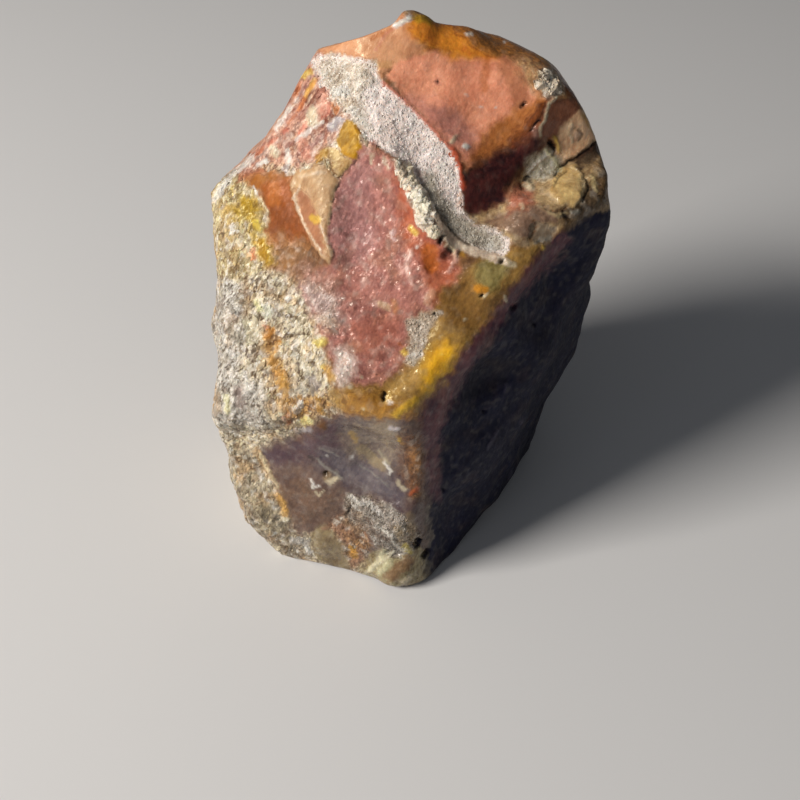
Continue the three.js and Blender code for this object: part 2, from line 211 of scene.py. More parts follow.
# Each region, in the order they are laid: its look, how soft its edge is (pixels), and its outline.
REGIONS = [
    ("tan", 5, "376,70 398,14 440,8 520,16 590,60 640,150 640,210 560,250 505,300 430,410 420,560 300,560 "
        "270,470 300,432 340,410 330,380 310,310 300,280 262,268 262,180 300,172 334,182 352,150 380,140 "
        "376,100"),
    ("lower", 9, "262,448 282,439 300,440 312,432 322,421 345,413 375,417 410,420 430,434 430,500 428,560 "
        "414,600 370,600 330,590 302,560 297,537 289,512 283,488 269,472 261,458"),
    # the top of the lower facet under the overhanging ridge: mauve with painted shade
    ("mauve", 9, "262,452 280,443 300,440 318,426 340,418 348,434 340,450 320,460 298,466 275,466"),
    ("pale grey", 11, "345,422 385,418 402,428 400,455 385,470 362,452 345,440"),
    ("violet grey", 11, "318,450 345,452 372,462 392,478 402,500 380,500 352,486 328,470"),
    ("umber", 18, "284,476 300,472 326,486 342,498 342,514 326,524 302,530 292,520"),
    ("rust", 7, "402,432 424,432 424,500 410,500 402,470"),
    ("foot", 6, "205,440 228,445 245,450 260,460 270,478 282,492 288,514 298,534 320,532 340,524 366,545 "
        "366,575 424,600 370,600 330,590 290,575 240,545 205,500"),
    ("crumble", 5, "328,522 344,513 356,520 366,532 370,548 362,564 350,568 340,552 328,538"),
    ("bottle", 4, "310,536 320,524 334,528 340,542 348,558 352,574 330,568 314,556"),
    ("nub", 3, "362,566 372,552 388,545 404,542 420,546 430,556 424,596 366,590"),
    ("sugar", 3, "344,498 350,493 358,497 366,494 374,500 384,503 392,510 402,514 410,521 418,528 425,538 "
        "418,546 409,550 400,558 390,556 384,548 374,544 368,534 360,526 352,522 345,512"),
    # the dark right side: painted shade, with a painted blue reflection
    ("shade", 6, "612,178 580,216 545,247 505,300 468,352 434,400 422,420 429,442 428,500 426,560 424,600 "
        "520,600 660,400 660,178"),
    ("plum", 6, "560,232 545,245 520,268 498,288 476,322 456,350 434,382 416,412 424,436 430,500 438,500 "
        "440,432 452,404 474,366 496,330 520,298 548,266 572,240"),
    # painted shade in a hollow on the dark right side
    ("shaded hollow", 5, "462,402 466,375 482,360 510,355 520,362 505,380 490,395"),
    ("grey crust", 9, "205,275 240,282 246,320 240,370 262,385 268,430 240,428 205,420"),
    ("brown crust", 8, "262,322 276,326 284,345 288,372 294,395 325,394 340,404 320,418 292,422 276,408 "
        "266,372"),
    ("glow", 5, "232,184 240,174 262,166 285,172 298,176 302,204 316,240 328,264 322,276 300,272 280,268 "
        "268,262 264,240 268,216 262,196 250,188"),
    ("ember", 7, "262,184 298,178 298,204 312,236 298,238 270,232 264,214"),
    ("tan", 9, "262,240 318,244 332,268 322,292 300,288 275,272 262,264"),
    ("shoulder", 5, "238,172 200,180 190,270 235,280 262,268 262,240 268,220 258,198 246,186"),
    ("olive crust", 8, "226,206 236,202 242,214 238,226 228,222"),
    ("olive crust", 8, "254,236 262,232 270,244 274,262 262,266 254,254"),
    ("olive crust", 8, "238,196 252,194 262,206 264,226 258,236 250,232 244,218"),
    ("rosy crust", 5, "330,30 300,50 270,110 225,165 240,178 266,166 296,168 320,160 338,138 350,118 345,95 "
        "325,60"),
    ("red", 5, "334,262 329,246 327,215 332,196 338,182 340,176 352,164 358,152 364,142 376,148 388,156 "
        "398,168 406,186 412,202 418,222 430,238 445,245 455,262 456,285 445,303 430,308 412,316 406,340 "
        "404,362 392,374 382,386 350,390 338,374 330,354 322,336 316,320 308,304 300,288 304,276 320,268"),
    ("mauve red", 14, "338,182 360,156 372,170 378,230 366,262 340,262 330,240 328,212"),
    ("orange red", 6, "394,170 406,186 420,226 440,246 458,268 452,302 432,308 425,280 404,240 394,205"),
    ("deep red", 12, "348,326 372,316 400,318 400,346 380,360 354,350"),
    ("lilac", 7, "338,352 350,347 356,360 351,378 343,388 336,372"),
    ("silver", 9, "300,282 312,276 328,284 340,300 346,322 338,334 322,328 310,308"),
    ("olive", 5, "506,250 530,246 560,224 575,214 548,240 520,275 500,300 478,332 456,362 434,394 418,412 "
        "395,419 365,413 338,408 326,392 350,386 380,384 404,372 414,348 428,322 442,308 456,288 468,268 "
        "484,256"),
    ("dark olive", 8, "440,290 470,272 480,300 508,286 480,330 462,330 445,322 430,318"),
    ("gold", 9, "430,350 446,342 458,346 450,366 434,386 424,392 424,372"),
    ("grey olive", 5, "478,262 500,258 512,266 500,288 484,292 474,278"),
    ("ochre", 7, "340,392 380,388 392,402 416,400 412,414 385,418 350,412"),
    ("pale sugar", 4, "408,320 424,311 442,313 434,324 426,340 424,354 411,366 404,360 412,340"),
    ("salmon", 3, "376,58 400,44 430,52 470,58 510,56 540,60 560,80 556,100 530,112 505,130 482,152 468,168 "
        "458,160 455,148 438,132 416,107 392,82"),
    # a darker mauve strip along the band's edge: painted shade beside the raised band
    ("mauve salmon", 9, "398,95 430,100 460,115 478,135 470,155 455,146 438,132 416,108"),
    ("peach", 3, "312,46 322,30 356,16 400,4 410,30 430,54 400,60 381,78 374,60 340,56 322,53"),
    ("corner", 6, "512,56 530,52 548,62 566,84 562,98 540,96 524,80"),
    ("amber", 7, "404,22 430,14 445,20 470,22 474,40 486,52 500,56 480,60 450,58 426,48 410,36"),
    ("dark amber", 9, "452,14 500,22 545,36 580,76 604,104 592,112 566,86 552,70 530,56 500,52 474,46 "
        "460,34"),
    ("rust rim", 4, "545,40 572,66 604,110 592,114 572,98 556,76"),
    ("streak", 7, "556,92 536,96 514,108 490,128 472,148 466,166 478,166 500,150 526,134 548,114"),
    ("rust rim", 6, "538,105 552,98 548,130 522,146 496,160 510,140"),
    # the pocket: maroon with painted shade below the band's ridge
    ("pocket", 8, "462,172 482,160 508,146 530,136 546,138 541,152 526,166 518,178 508,192 502,206 480,216 "
        "462,220 459,200"),
    ("brown dish", 2.5, "547,104 575,98 580,110 562,128 556,140 542,138 541,122"),
    ("tan chip", 3, "562,126 574,113 590,108 602,122 600,136 588,146 575,155 562,163 554,158 558,142"),
    ("crumbs", 4, "540,72 550,69 560,80 562,92 555,98 545,94 538,84"),
    ("bump", 3, "514,184 522,172 540,178 558,170 566,162 598,150 620,165 620,205 590,214 562,226 545,244 "
        "520,246 500,236 478,224 466,218 488,212 504,204"),
    ("grey green", 5, "526,158 546,148 562,158 560,172 544,180 524,178"),
    ("beige", 4, "500,212 535,206 560,210 556,222 535,222 530,240 505,234 478,222"),
    ("pink patch", 6, "506,197 518,181 535,188 532,206 506,214"),
    # the bump's edge as it turns to the dark right side: partly painted shade
    ("dark edge", 4, "558,210 580,202 590,180 606,162 612,200 590,216 565,230"),
    ("lobe", 2, "553,178 560,168 574,165 582,174 582,194 574,205 558,204 550,192"),
    ("facet", 1.2, "530,224 536,221 556,227 553,240 541,243 529,238"),
    ("band", 1.2, "312,60 320,54 345,56 370,59 376,66 380,80 392,90 408,105 422,118 438,138 450,149 458,165 "
        "462,185 462,212 475,224 498,230 509,240 509,250 500,258 482,255 462,247 446,232 434,215 420,192 "
        "412,176 400,160 388,152 376,146 366,138 362,128 352,118 344,106 334,98 322,90 314,75"),
    ("snow", 5, "320,58 350,60 372,64 376,80 362,92 368,118 374,134 362,130 348,112 332,98 322,84 314,70"),
    # painted shade: the band's grey sugar in the shadow of the bead ridge
    ("trough", 5, "422,168 434,172 446,198 458,214 480,226 500,234 506,248 492,252 470,246 450,234 436,214 "
        "426,190"),
    ("bead", 1.5, "394,160 404,160 412,172 418,184 428,190 434,204 438,218 441,232 436,240 428,236 418,222 "
        "412,206 404,188 398,174"),
    ("lip", 1.5, "434,206 441,216 451,230 463,241 481,249 500,255 512,262 506,266 480,257 458,250 444,240 "
        "437,226"),
    ("flake", 0.8, "297,168 310,170 313,163 327,166 332,174 338,181 334,190 331,202 328,218 327,238 333,256 "
        "329,263 322,258 312,244 304,226 297,208 293,196 290,184"),
    ("glassy flake", 3, "294,190 304,192 312,204 318,218 323,238 328,256 314,246 304,226 297,206"),
    ("chip", 0.8, "346,120 353,120 360,130 361,148 355,158 346,156 338,150 336,140 342,128"),
    ("cream chip", 0.8, "318,150 334,146 345,157 353,160 348,167 338,177 332,172 329,161"),
]

# Patches of other looks' colours in the crust: the look, how wide (mm), how strong, and a seed.
STAINS = [
    ("brown crust", 2.6, 0.55, 81),
    ("bottle", 2.1, 0.45, 82),
    ("umber", 1.5, 0.5, 83),
    ("pale rim", 0.8, 0.6, 84),
    ("umber", 0.6, 0.35, 85),
]
STAINED = (0, 0.85, 1.1), (0, 0.85, 0.2)  # how crusty the surface is, and how much of the stains shows there

WHITE = "#f6f0e6"
CREAM = "#eadab8"
YELLOW = "#e8be54"
OCHRE = "#be8a34"
ORANGE = "#ce6e2a"
BROWN = "#784e2c"
# brown; its thin sunken strokes along creases and edges are painted shade, its wider dabs the stone's own
# brown
PINK = "#d68a74"
GREY = "#b0aca0"
LILAC = "#cec2c4"
# near black, used only for painted shade: in pits, slits and cracks, and as shadow lines along the shaded
# side of edges
PAINTED_SHADE = "#1a1311"

# Each mark, a dab or a stroke: its colour, its width (pixels), how strong it is, how far it stands out (mm)
# and the points that it runs through. The near-black marks are painted shade, and so are the thin sunken
# brown strokes; the light marks said below to be glints are painted highlights.
MARKS = [
    # the top of the tower
    ("#be7a52", 20, 0.6, 0, "506,66 518,84 521,100"),
    (WHITE, 7, 0.9, 0.1, "396,25 410,18"),
    ("#cea02c", 10, 0.8, 0.05, "417,18 430,19"),
    (YELLOW, 7, 0.7, 0, "302,76 309,72"),
    (ORANGE, 5, 0.5, 0, "372,38 392,30"),
    (PINK, 3, 0.6, 0, "376,50 386,34 394,29"),
    ("#ce9a60", 8, 0.5, 0, "378,66 388,64"),
    (BROWN, 2, 0.8, -0.15, "383,75 392,68"),
    # painted glints on the tower's top
    (WHITE, 4, 0.8, 0.08, "467,34 472,34"),
    (WHITE, 3, 0.8, 0.05, "505,42"),
    (WHITE, 3, 0.7, 0.05, "532,45"),
    (YELLOW, 6, 0.7, 0.1, "536,49 541,53"),
    (OCHRE, 8, 0.6, 0, "542,56 554,62"),
    ("#ce7030", 8, 0.5, 0, "487,58 484,90"),
    # painted glints on the salmon face
    (WHITE, 2.4, 0.8, 0.05, "467,95"),
    (WHITE, 1.6, 0.6, 0.03, "479,106 484,108"),
    (WHITE, 2, 0.6, 0.03, "495,108"),
    (PINK, 7, 0.8, 0.12, "437,82"),
    (PAINTED_SHADE, 3, 0.9, -0.4, "437,82"),
    # a painted glint
    (WHITE, 4, 0.95, 0.12, "464,145 468,147"),
    (CREAM, 5, 0.8, 0.1, "452,141 456,137"),
    (PAINTED_SHADE, 3.5, 0.9, -0.5, "522,106 525,102"),
    (CREAM, 2.2, 0.8, 0.12, "557,98 549,103 547,112 545,120 541,125 541,136"),
    (PAINTED_SHADE, 2.5, 0.9, -0.3, "531,131 535,124 540,120"),
    ("#8c685c", 8, 0.7, 0.1, "536,130 537,136"),
    (PAINTED_SHADE, 4, 1, -0.7, "549,141 554,149"),
    (YELLOW, 3, 0.8, 0.2, "553,137 558,143 559,152"),
    ("#ceae96", 9, 0.7, 0.08, "577,134"),
    (BROWN, 2, 0.5, -0.1, "571,130 575,128 580,130 582,135 579,140"),
    (CREAM, 3, 0.6, 0.1, "572,124 569,134 573,142"),
    (OCHRE, 7, 0.6, 0, "585,116 593,130"),
    # painted shade in the crack and in the crevice below it
    (PAINTED_SHADE, 3, 0.9, -0.35, "600,138 588,149 574,158 560,168 554,176"),
    ("#34241e", 14, 0.85, -0.15, "600,148 580,162"),
    # the right bump
    (WHITE, 3, 0.7, 0.1, "530,170 540,160 552,153"),
    ("#ded6aa", 4, 0.7, 0.1, "546,150 555,160 560,170"),
    ("#d6be90", 2, 0.7, 0.15, "570,166 579,171 584,182 583,194 575,204"),
    (PAINTED_SHADE, 2, 0.7, -0.3, "586,178 588,190 582,202"),
    ("#c4b080", 5, 0.6, 0.15, "592,176 596,190"),
    (BROWN, 2, 0.7, -0.25, "546,208 556,212 566,208"),
    ("#ceb88c", 3, 0.6, 0.15, "548,212 558,216 566,213"),
    ("#dc9660", 5, 0.8, 0.15, "524,182 530,186"),
    (PAINTED_SHADE, 1.6, 0.7, -0.2, "566,172 558,178 554,186"),
    (CREAM, 9, 0.8, 0.15, "527,184 530,188"),
    (PAINTED_SHADE, 4, 0.9, -0.45, "525,179 529,177"),
    (BROWN, 2.5, 0.8, -0.15, "519,182 522,190"),
    (CREAM, 3, 0.7, 0.1, "521,203 522,208"),
    (PAINTED_SHADE, 3, 0.8, -0.3, "563,210 565,216 570,219"),
    (GREY, 4, 0.6, 0.1, "572,212 578,212"),
    (BROWN, 2, 0.8, -0.2, "533,221 537,226 533,233 530,239"),
    (YELLOW, 5, 0.7, 0.1, "543,248"),
    (GREY, 5, 0.5, 0.05, "536,242 550,238"),
    # the band
    ("#de826c", 3, 0.85, 0.08, "382,82 398,95 410,107 424,120 440,138 450,147"),
    ("#d05a3c", 4.6, 0.8, 0.12, "453,148 458,160 461,174 463,188"),
    ("#ce8c60", 3, 0.6, 0.1, "460,192 459,206"),
    (WHITE, 12, 0.8, 0.1, "336,92 344,90"),
    (WHITE, 7, 0.6, 0.05, "350,108 360,116 366,126"),
    (WHITE, 9, 0.5, 0.05, "440,166 450,176"),
    (WHITE, 10, 0.5, 0.05, "490,246"),
    # painted shadow lines: under the bead ridge, and beside the cream ridge above it
    (PAINTED_SHADE, 2.6, 0.7, -0.15, "436,208 444,222 452,232 461,240 470,245"),
    (BROWN, 2.5, 0.6, -0.2, "417,164 420,176 425,188 432,200"),
    (CREAM, 5, 0.8, 0.2, "409,164 412,176 418,186"),
    ("#faf2d8", 13, 0.8, 0.15, "419,194 425,206"),
    ("#f0e2c4", 8, 0.7, 0.1, "424,214 432,228"),
    ("#be785a", 6, 0.6, 0, "428,218 432,224"),
    (CREAM, 7, 0.8, 0.2, "432,234 438,236"),
    (CREAM, 5, 0.7, 0.15, "446,245 455,250 456,256"),
    (PAINTED_SHADE, 4, 0.9, -0.5, "440,243 443,236"),
    (PAINTED_SHADE, 4, 0.9, -0.5, "449,249 452,252"),
    (PAINTED_SHADE, 6, 1, -0.7, "501,261"),
    (CREAM, 6, 0.6, 0.1, "508,262 514,266"),
    # the top left slope
    ("#d68054", 3.5, 0.6, 0, "318,76 308,92 300,110"),
    ("#a07068", 4, 0.6, -0.05, "318,70 304,88 294,102"),
    ("#a87468", 5, 0.6, -0.05, "314,128 302,138 286,146"),
    ("#c4968e", 6, 0.6, 0, "298,112 286,124"),
    ("#ce9678", 4, 0.6, 0, "282,112 272,128 262,142"),
    ("#a07670", 5, 0.6, -0.05, "322,136 312,146 300,152"),
    ("#cc6e54", 4, 0.6, 0, "276,138 268,146"),
    (WHITE, 5, 0.6, 0.08, "296,98 286,114 276,128"),
    (WHITE, 4, 0.6, 0.08, "322,122 308,132 296,140"),
    ("#ceb0a0", 5, 0.6, 0.05, "268,150 256,158"),
    (ORANGE, 5, 0.5, 0, "300,84 292,104"),
    (ORANGE, 4, 0.5, 0, "312,84 300,108 288,124"),
    ("#d66c54", 4, 0.6, 0, "308,122 298,134"),
    ("#d66c54", 7, 0.6, 0.05, "286,132"),
    (PINK, 8, 0.7, 0, "325,90 324,110"),
    ("#ce705a", 3, 0.7, 0, "329,104 328,114 322,118"),
    (PINK, 12, 0.6, 0, "302,144 306,152"),
    (CREAM, 10, 0.8, 0.05, "312,110 312,122"),
    (YELLOW, 5, 0.4, 0, "314,80 306,96"),
    ("#b06834", 8, 0.95, -0.1, "334,106 336,111"),
    (LILAC, 10, 0.9, 0.15, "332,127 340,120"),
    (CREAM, 8, 0.7, 0.1, "272,148 276,154"),
    (WHITE, 5, 0.9, 0.12, "258,165 266,161"),
    (WHITE, 6, 0.6, 0.1, "288,150 288,164"),
    (LILAC, 8, 0.6, 0, "286,170"),
    ("#ce744e", 4, 0.7, 0, "252,160 262,148"),
    # a painted highlight along the shoulder's edge
    (WHITE, 7, 0.7, 0, "214,200 226,180 244,165 252,158"),
    ("#b07042", 5, 0.6, 0, "240,180 262,172 276,172"),
    (PAINTED_SHADE, 2, 0.8, -0.15, "297,159 302,164"),
    (OCHRE, 7, 0.8, 0.05, "318,158 325,153"),
    (BROWN, 1.8, 0.7, -0.1, "328,150 329,160 333,170 338,178"),
    (BROWN, 2, 0.9, -0.2, "357,127 361,134"),
    (PAINTED_SHADE, 1.8, 0.7, -0.15, "358,156 354,164 346,169 340,177"),
    (PAINTED_SHADE, 1.6, 0.7, -0.12, "341,182 335,191 332,204 330,220 329,238 334,254"),
    (PINK, 7, 0.8, 0.15, "372,143"),
    (BROWN, 5, 0.8, -0.2, "378,147"),
    (CREAM, 4, 0.6, 0.05, "372,154 371,163"),
    (CREAM, 4, 0.5, 0.05, "384,158 388,168"),
    # the shoulder and the glow
    ("#9c5c3e", 3, 0.7, 0.05, "238,180 250,172 264,170"),
    ("#ecce5a", 6, 0.7, 0.05, "256,222 260,230"),
    ("#e09650", 5, 0.6, 0, "242,246 250,254"),
    ("#e8ceaa", 4, 0.6, 0.04, "300,176 312,174 324,172"),
    ("#e2c498", 2, 0.8, 0.06, "338,182 333,194 330,208 328,224"),
    ("#b28c28", 10, 0.85, -0.05, "246,202 250,216"),
    ("#b88828", 9, 0.85, -0.05, "260,242 263,258"),
    ("#e2cea6", 2.2, 0.8, 0.1, "242,187 254,192 262,202 268,212"),
    (WHITE, 3, 0.7, 0.1, "253,187 256,193"),
    (YELLOW, 4, 0.5, 0.1, "232,186 231,196"),
    (CREAM, 9, 0.6, 0.1, "238,240 250,250"),
    (WHITE, 9, 0.7, 0.15, "233,228"),
    ("#e28254", 5, 0.7, 0, "252,250 254,258"),
    ("#ce7422", 14, 0.45, 0, "274,188 274,200"),
    ("#e2b446", 7, 0.85, 0, "312,218 318,220"),
    ("#ecd6b8", 2.2, 0.7, 0.1, "300,186 293,198 302,220 312,238 322,254"),
    ("#ecd6b8", 2.2, 0.6, 0.08, "320,226 326,240 331,256"),
    # the red face
    ("#8a624e", 24, 0.6, 0, "306,270 322,278 332,284"),
    ("#e8beb8", 4, 0.8, 0.06, "394,232 391,237 395,240"),
    (YELLOW, 6, 0.8, 0.05, "411,228 416,233"),
    (ORANGE, 16, 0.8, -0.15, "430,250 432,266"),
    ("#602e22", 9, 0.8, -0.3, "446,255"),
    ("#ecbeae", 4.5, 0.6, 0.08, "412,250 407,262 409,276 416,288"),
    (WHITE, 4, 0.7, 0.1, "417,247"),
    (PINK, 3, 0.7, 0.1, "422,266 426,276 424,288"),
    ("#e8b0a0", 3.5, 0.7, 0.1, "457,250 455,262 448,272"),
    (OCHRE, 6, 0.7, 0, "463,254"),
    ("#e2962c", 9, 0.85, 0.05, "477,289 484,290"),
    (PAINTED_SHADE, 4, 0.95, -0.5, "482,295"),
    (CREAM, 3, 0.7, 0.05, "484,297 486,294"),
    (CREAM, 3, 0.6, 0.08, "505,296 506,301"),
    ("#e0c496", 6, 0.45, 0.05, "380,304 388,308"),
    ("#c4843e", 7, 0.45, 0, "394,302 396,310"),
    ("#d6a082", 8, 0.7, 0.08, "432,292 428,302"),
    (PINK, 3, 0.7, 0.08, "373,318 376,324"),
    (PAINTED_SHADE, 3.5, 0.9, -0.4, "434,314"),
    (WHITE, 4, 0.6, 0.1, "441,313"),
    (WHITE, 5, 0.5, 0.1, "420,352 410,356"),
    (YELLOW, 7, 0.8, 0.05, "403,352"),
    (ORANGE, 5, 0.5, 0, "400,344"),
    (PINK, 6, 0.7, 0.08, "376,374"),
    (PAINTED_SHADE, 2, 0.7, -0.2, "376,374"),
    (CREAM, 4, 0.6, 0.05, "361,377"),
    (CREAM, 5, 0.7, 0.05, "349,387"),
    # the foot of the front
    ("#e2be78", 12, 0.7, 0.12, "385,397"),
    # painted shade in the pit
    ("#3a2418", 6.5, 0.95, -0.7, "384,394 384,398"),
    (WHITE, 6, 0.6, 0, "390,403"),
    ("#deb03c", 9, 0.8, 0.1, "396,414 404,408 415,400"),
    (CREAM, 3, 0.7, 0.05, "363,409"),
    (BROWN, 3, 0.6, 0, "360,400"),
    (YELLOW, 3.5, 0.8, 0.05, "441,355"),
    (CREAM, 3, 0.6, 0.05, "465,319"),
    # the left crust
    (CREAM, 4, 0.7, 0.1, "313,338 320,336"),
    ("#8c683e", 8, 0.5, -0.08, "262,284 268,292 282,296"),
    ("#c48c42", 8, 0.6, 0, "272,356 276,370 284,378"),
    ("#969270", 9, 0.5, 0, "246,322 250,342"),
    ("#e2dac4", 5, 0.6, 0.08, "294,352 306,366 310,378"),
    ("#e8e0a8", 7, 0.9, 0.15, "256,302 260,308"),
    ("#dedec8", 10, 0.7, 0.1, "266,308 268,314"),
    (WHITE, 8, 0.8, 0.15, "288,298"),
    ("#cec6a8", 8, 0.6, 0.1, "290,308"),
    ("#ce842c", 8, 0.75, 0.05, "270,330 266,336"),
    ("#e6a082", 5, 0.7, 0.05, "265,326"),
    ("#d08c3c", 6, 0.7, 0.1, "280,342 276,352"),
    (CREAM, 10, 0.6, 0.1, "250,330 258,336"),
    (CREAM, 4, 0.7, 0.15, "282,348 276,356"),
    ("#ecce60", 10, 0.8, 0.05, "317,343 322,342"),
    (OCHRE, 8, 0.7, 0, "326,368 332,378"),
    (YELLOW, 6, 0.7, 0.05, "322,366"),
    (CREAM, 3, 0.7, 0.12, "300,338 304,358 312,374"),
    (CREAM, 3, 0.6, 0.12, "314,350 318,366 322,380"),
    ("#8c807c", 11, 0.8, -0.15, "311,376 316,386"),
    (OCHRE, 9, 0.6, 0, "284,380 284,390"),
    (GREY, 9, 0.6, 0.1, "294,392 304,390"),
    (WHITE, 7, 0.5, 0.12, "300,404 296,410"),
    (OCHRE, 6, 0.6, 0, "318,400 322,412"),
    ("#f4de8c", 8, 0.9, 0.15, "304,420 309,421"),
    (PAINTED_SHADE, 4, 0.95, -0.5, "290,423 294,420"),
    ("#6e4824", 11, 0.9, 0.1, "322,426"),
    ("#be6e3c", 6, 0.6, 0, "286,414 288,422"),
    ("#b0aaac", 6, 0.6, 0.1, "298,430 310,430"),
    ("#e8deaa", 6, 0.8, 0.1, "226,396 227,412"),
    ("#826e68", 12, 0.7, -0.1, "238,392 240,404"),
    ("#967854", 9, 0.6, -0.1, "217,396 217,410"),
    (WHITE, 5, 0.6, 0.12, "228,350 234,358"),
    (WHITE, 4, 0.6, 0.12, "244,372 248,386 254,392"),
    ("#8a806c", 10, 0.5, -0.1, "230,330 238,338"),
    (BROWN, 9, 0.4, -0.1, "246,280 244,300 246,314"),
    ("#968478", 8, 0.5, -0.05, "254,348 250,356"),
    # the lower facet
    ("#e4dcce", 3, 0.7, 0.08, "376,526 388,532 396,546 408,552"),
    ("#604838", 4, 0.6, -0.1, "366,518 376,534 388,540"),
    ("#bc9464", 8, 0.6, 0.06, "256,450 264,464 272,478"),
    ("#decaa4", 4, 0.7, 0.1, "262,456 268,470 278,486"),
    ("#988264", 10, 0.6, 0.05, "410,516 412,538"),
    ("#604a42", 8, 0.6, 0, "420,512 424,545"),
    ("#e0d8ce", 5, 0.7, 0.08, "350,497 360,503 370,503 380,513"),
    ("#6e543e", 7, 0.5, -0.05, "348,506 358,520 370,532"),
    ("#9c8664", 9, 0.6, 0, "398,528 402,540"),
    ("#d8ceb0", 4, 0.7, 0.1, "366,574 374,566 384,560 392,552"),
    ("#c8a05a", 6, 0.7, 0.04, "352,433 356,440"),
    ("#a6926a", 12, 0.5, 0.03, "362,450 372,458 382,466"),
    # painted glints on the lower facet
    (WHITE, 2.5, 0.9, 0.1, "384,462 388,466 391,471 389,474"),
    ("#c4b89c", 2, 0.6, 0.05, "378,450 384,458 389,463"),
    (WHITE, 4, 0.6, 0.05, "352,457"),
    (WHITE, 2.5, 0.6, 0.05, "327,456"),
    (GREY, 1.6, 0.4, 0.05, "320,448 330,452 338,456"),
    (GREY, 2, 0.55, 0.08, "316,458 324,466 334,472 342,478"),
    (PAINTED_SHADE, 2.5, 0.6, -0.2, "308,456 314,460"),
    ("#aa9270", 11, 0.6, 0.08, "328,476"),
    # painted shade in the pit
    ("#46341c", 7, 0.95, -0.6, "326,474"),
    (CREAM, 6, 0.85, 0.12, "336,478 330,482"),
    (WHITE, 2.2, 0.8, 0.08, "311,480 314,484 312,488 319,486"),
    (CREAM, 2, 0.7, 0.05, "316,492 319,496 323,491"),
    ("#d6ccce", 4, 0.8, 0.12, "390,428 398,429"),
    (OCHRE, 4, 0.5, 0.03, "398,436 402,444"),
    (YELLOW, 4, 0.6, 0.08, "399,440"),
    (CREAM, 4, 0.6, 0.08, "398,482 404,490"),
    ("#a0502c", 5, 0.8, 0.05, "411,494 417,489"),
    (GREY, 1.6, 0.35, 0.04, "360,466 374,474 388,486"),
    (PAINTED_SHADE, 3, 0.7, -0.3, "351,506 346,516"),
    ("#a07a62", 4, 0.7, 0.12, "323,529 330,526"),
    ("#ce9c54", 7, 0.85, 0.1, "277,495 283,503 285,514"),
    (CREAM, 5, 0.8, 0.12, "283,519 287,520"),
    ("#82765e", 13, 0.6, -0.1, "262,508 268,512"),
    (WHITE, 5, 0.6, 0.12, "306,546 309,552"),
    ("#c8c4be", 7, 0.6, 0.08, "292,540 306,542"),
    (OCHRE, 7, 0.8, 0.08, "352,548 354,556"),
    ("#ded6b2", 6, 0.8, 0.12, "370,570 378,562 384,552"),
    ("#cec8a0", 8, 0.7, 0.15, "380,572 390,562"),
    ("#c6b050", 6, 0.7, 0.08, "406,546 410,552"),
    ("#846448", 13, 0.8, 0, "390,576 400,568 408,562"),
    (CREAM, 5, 0.7, 0.12, "402,582 410,578"),
    (PAINTED_SHADE, 7, 1, -0.8, "419,540 416,545"),
    (PAINTED_SHADE, 5, 0.95, -0.6, "424,556 428,550"),
    # the dark side
    (PAINTED_SHADE, 4, 0.7, -0.3, "512,308 516,304"),
    # painted glints along the dark side's edges
    ("#4a4656", 3, 0.7, 0.1, "488,448 494,438 498,430"),
    ("#464254", 3, 0.6, 0.1, "508,480 512,470"),
    ("#464254", 3, 0.6, 0.1, "520,424 526,418"),
    ("#423e50", 3, 0.6, 0.1, "504,392 506,384"),
    (PAINTED_SHADE, 6, 0.6, -0.3, "444,490"),
    (PAINTED_SHADE, 5, 0.6, -0.3, "484,412"),
    (PAINTED_SHADE, 5, 0.6, -0.3, "534,324"),
]

# ---------------------------------------------------------------- colour and relief over the stone


def points_of(text):
    """The points of an outline or a stroke, which is written as x,y pairs."""
    return np.array([pair.split(",") for pair in text.split()], float)


def line_distance(pixels, starts, ends):
    """How far each pixel is from the nearest of the lines from the starts to the ends."""
    nearest = np.full(len(pixels), np.inf)
    for start, end in zip(starts, ends):
        edge = end - start
        off = pixels - start
        along = np.clip((off @ edge) / max(edge @ edge, 1e-9), 0, 1)  # a dab's line has no length
        nearest = np.minimum(nearest, ((off - along[:, None] * edge) ** 2).sum(axis=1))
    return np.sqrt(nearest)


def outline_distance(pixels, outline):
    """How far inside the outline each pixel is: negative outside it."""
    starts = points_of(outline)
    ends = np.roll(starts, -1, axis=0)
    inside = np.zeros(len(pixels), bool)
    for (x0, y0), (x1, y1) in zip(starts, ends):
        if y0 != y1:
            crosses = (y0 > pixels[:, 1]) != (y1 > pixels[:, 1])
            inside ^= crosses & (pixels[:, 0] < x0 + (x1 - x0) * (pixels[:, 1] - y0) / (y1 - y0))
    return np.where(inside, 1, -1) * line_distance(pixels, starts, ends)


def stroke_distance(pixels, stroke):
    """How far each pixel is from the line through the stroke's points."""
    points = points_of(stroke)
    return line_distance(pixels, points, points[1:] if len(points) > 1 else points)


def facing(points, directions):
    """How squarely the surface faces the show view: 1 is head on, and 0 and less is out of sight."""
    to_eye = EYE - points
    to_eye /= np.linalg.norm(to_eye, axis=1)[:, None]
    return (directions * to_eye).sum(axis=1)


def channels(colour):
    """The red, green and blue, from 0 to 255, of a colour that is written as #rrggbb."""
    return np.array(list(bytes.fromhex(colour[1:])), float)


def linear(colour):
    """The colour as linear light from 0 to 1."""
    c = channels(colour) / 255
    return np.where(c <= 0.04045, c / 12.92, ((c + 0.055) / 1.055) ** 2.4)


def row(light, dark, blotch, roughness, crust, sugar=0, height=0):
    """A look as one row of numbers."""
    return np.array((*linear(light), *linear(dark), blotch, roughness, crust, sugar, height))


ROWS = {name: row(*look) for name, look in LOOKS.items()}

# The columns of a row.
LIGHT, DARK, BOTH = slice(0, 3), slice(3, 6), slice(0, 6)
BLOTCH, ROUGHNESS, CRUST, SUGAR, HEIGHT = range(6, 11)

SEEN = 0.02, 0.18  # how squarely the surface faces the show view where its regions start, and are whole
HIDDEN = 0.12, 0.26  # and where the looks of the hidden sides are still whole, and end


